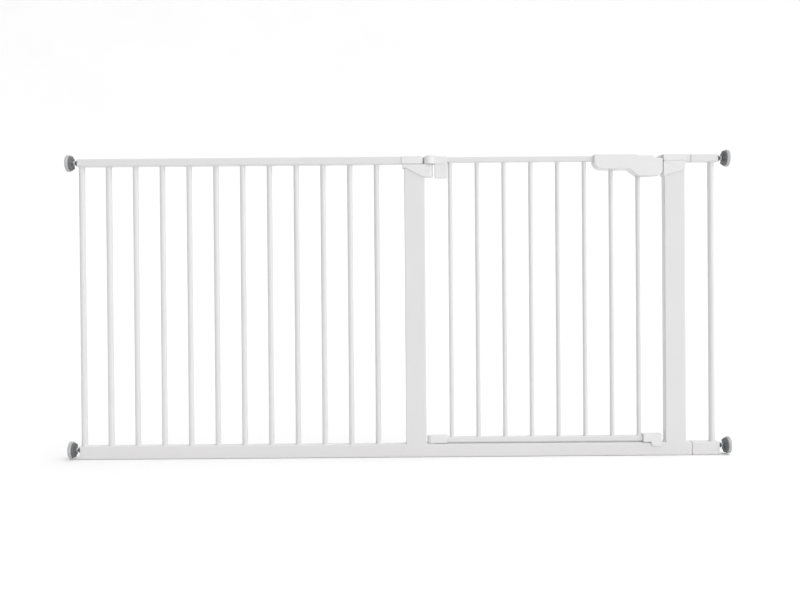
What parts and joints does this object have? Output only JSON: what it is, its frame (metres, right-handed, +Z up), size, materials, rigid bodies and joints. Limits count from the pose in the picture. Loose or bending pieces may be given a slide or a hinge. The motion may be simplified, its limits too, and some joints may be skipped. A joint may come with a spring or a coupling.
{
  "type": "safety baby gate",
  "caption": "Pressure-fit safety gate for a wide opening: barred extensions either side of a U frame with a swinging, lifting door, spring latch handle and spindle wall fittings.",
  "frame": {"origin": "on the floor, midway between the two wall-pad faces, in the middle of the tubes' depth", "axes": "+X along the gate to the right as seen from the front, +Y to the rear (the door opens to the front, -Y), +Z up"},
  "size_m": [1.61, 0.041, 0.7415],
  "materials": {
    "white_paint": "satin powder coat",
    "white_plastic": "satin",
    "dark_plastic": "satin",
    "cup_plastic": "satin",
    "pad_rubber": "matte",
    "bush_plastic": "satin",
    "plain_steel": "zinc plated"
  },
  "bodies": {
    "frame": {"frame_bottom_rail": "white_paint", "hinge_post": "white_paint", "latch_post": "white_paint", "hinge_housing": "white_plastic", "latch_housing": "white_plastic", "extension_top_rail": "white_paint", "extension_bottom_rail": "white_paint", "extension_bar_01": "white_paint", "extension_bar_02": "white_paint", "extension_bar_03": "white_paint", "extension_bar_04": "white_paint", "extension_bar_05": "white_paint", "extension_bar_06": "white_paint", "extension_bar_07": "white_paint", "extension_bar_08": "white_paint", "extension_bar_09": "white_paint", "extension_bar_10": "white_paint", "left_end_extension": "white_paint", "right_end_extension": "white_paint", "connector_top": "plain_steel", "connector_bottom": "plain_steel"},
    "hinge_bushes": {"upper_bush": "bush_plastic", "lower_bush": "bush_plastic"},
    "door": {"door_top_rail": "white_paint", "door_bottom_rail": "white_paint", "door_bar_1": "white_paint", "door_bar_2": "white_paint", "door_bar_3": "white_paint", "door_bar_4": "white_paint", "door_bar_5": "white_paint", "door_bar_6": "white_paint", "door_bar_7": "white_paint", "door_bar_8": "white_paint", "hinge_arm": "white_plastic", "hinge_cap": "white_plastic", "upper_hinge_pin": "plain_steel", "lower_hinge_pin": "plain_steel", "hinge_shoe": "white_plastic", "latch_shoe": "white_plastic", "handle_front_shell": "white_plastic", "handle_rear_shell": "white_plastic"},
    "latch": {"thumb_slider": "white_plastic", "latch_bolt": "dark_plastic", "latch_spring": "plain_steel"},
    "top_left_nut": {"top_left_nut": "dark_plastic"},
    "top_left_fitting": {"top_left_spindle": "plain_steel", "top_left_cup": "cup_plastic", "top_left_pad": "pad_rubber"},
    "bottom_left_nut": {"bottom_left_nut": "dark_plastic"},
    "bottom_left_fitting": {"bottom_left_spindle": "plain_steel", "bottom_left_cup": "cup_plastic", "bottom_left_pad": "pad_rubber"},
    "top_right_nut": {"top_right_nut": "dark_plastic"},
    "top_right_fitting": {"top_right_spindle": "plain_steel", "top_right_cup": "cup_plastic", "top_right_pad": "pad_rubber"},
    "bottom_right_nut": {"bottom_right_nut": "dark_plastic"},
    "bottom_right_fitting": {"bottom_right_spindle": "plain_steel", "bottom_right_cup": "cup_plastic", "bottom_right_pad": "pad_rubber"}
  },
  "joints": [
    {"name": "door_swing", "type": "hinge", "parent": "frame", "child": "hinge_bushes", "pos_m": [0.078, 0, 0.36], "axis": [0, 0, -1], "range_deg": [0, 90]},
    {"name": "door_lift", "type": "slide", "parent": "hinge_bushes", "child": "door", "axis": [0, 0, 1], "range_m": [0, 0.012]},
    {"name": "latch_slide", "type": "slide", "parent": "door", "child": "latch", "axis": [-1, 0, 0], "range_m": [0, 0.008], "stiffness_N_per_m": 350, "springref_m": -0.006, "deforming": ["latch_spring"]},
    {"name": "top_left_spindle_slide", "type": "slide", "parent": "frame", "child": "top_left_fitting", "axis": [-1, 0, 0], "range_m": [-0.004, 0.024]},
    {"name": "top_left_nut_turn", "type": "hinge", "parent": "frame", "child": "top_left_nut", "pos_m": [-0.78, 0, 0.721], "axis": [-1, 0, 0], "range_deg": [-961, 5761]},
    {"name": "bottom_left_spindle_slide", "type": "slide", "parent": "frame", "child": "bottom_left_fitting", "axis": [-1, 0, 0], "range_m": [-0.004, 0.024]},
    {"name": "bottom_left_nut_turn", "type": "hinge", "parent": "frame", "child": "bottom_left_nut", "pos_m": [-0.78, 0, 0.022], "axis": [-1, 0, 0], "range_deg": [-961, 5761]},
    {"name": "top_right_spindle_slide", "type": "slide", "parent": "frame", "child": "top_right_fitting", "axis": [1, 0, 0], "range_m": [-0.004, 0.024]},
    {"name": "top_right_nut_turn", "type": "hinge", "parent": "frame", "child": "top_right_nut", "pos_m": [0.78, 0, 0.721], "axis": [1, 0, 0], "range_deg": [-961, 5761]},
    {"name": "bottom_right_spindle_slide", "type": "slide", "parent": "frame", "child": "bottom_right_fitting", "axis": [1, 0, 0], "range_m": [-0.004, 0.024]},
    {"name": "bottom_right_nut_turn", "type": "hinge", "parent": "frame", "child": "bottom_right_nut", "pos_m": [0.78, 0, 0.022], "axis": [1, 0, 0], "range_deg": [-961, 5761]}
  ],
  "couplings": [
    {"joint": "top_left_nut_turn", "follows": "top_left_spindle_slide", "rad_per_m": 4188.8},
    {"joint": "bottom_left_nut_turn", "follows": "bottom_left_spindle_slide", "rad_per_m": 4188.8},
    {"joint": "top_right_nut_turn", "follows": "top_right_spindle_slide", "rad_per_m": 4188.8},
    {"joint": "bottom_right_nut_turn", "follows": "bottom_right_spindle_slide", "rad_per_m": 4188.8}
  ]
}
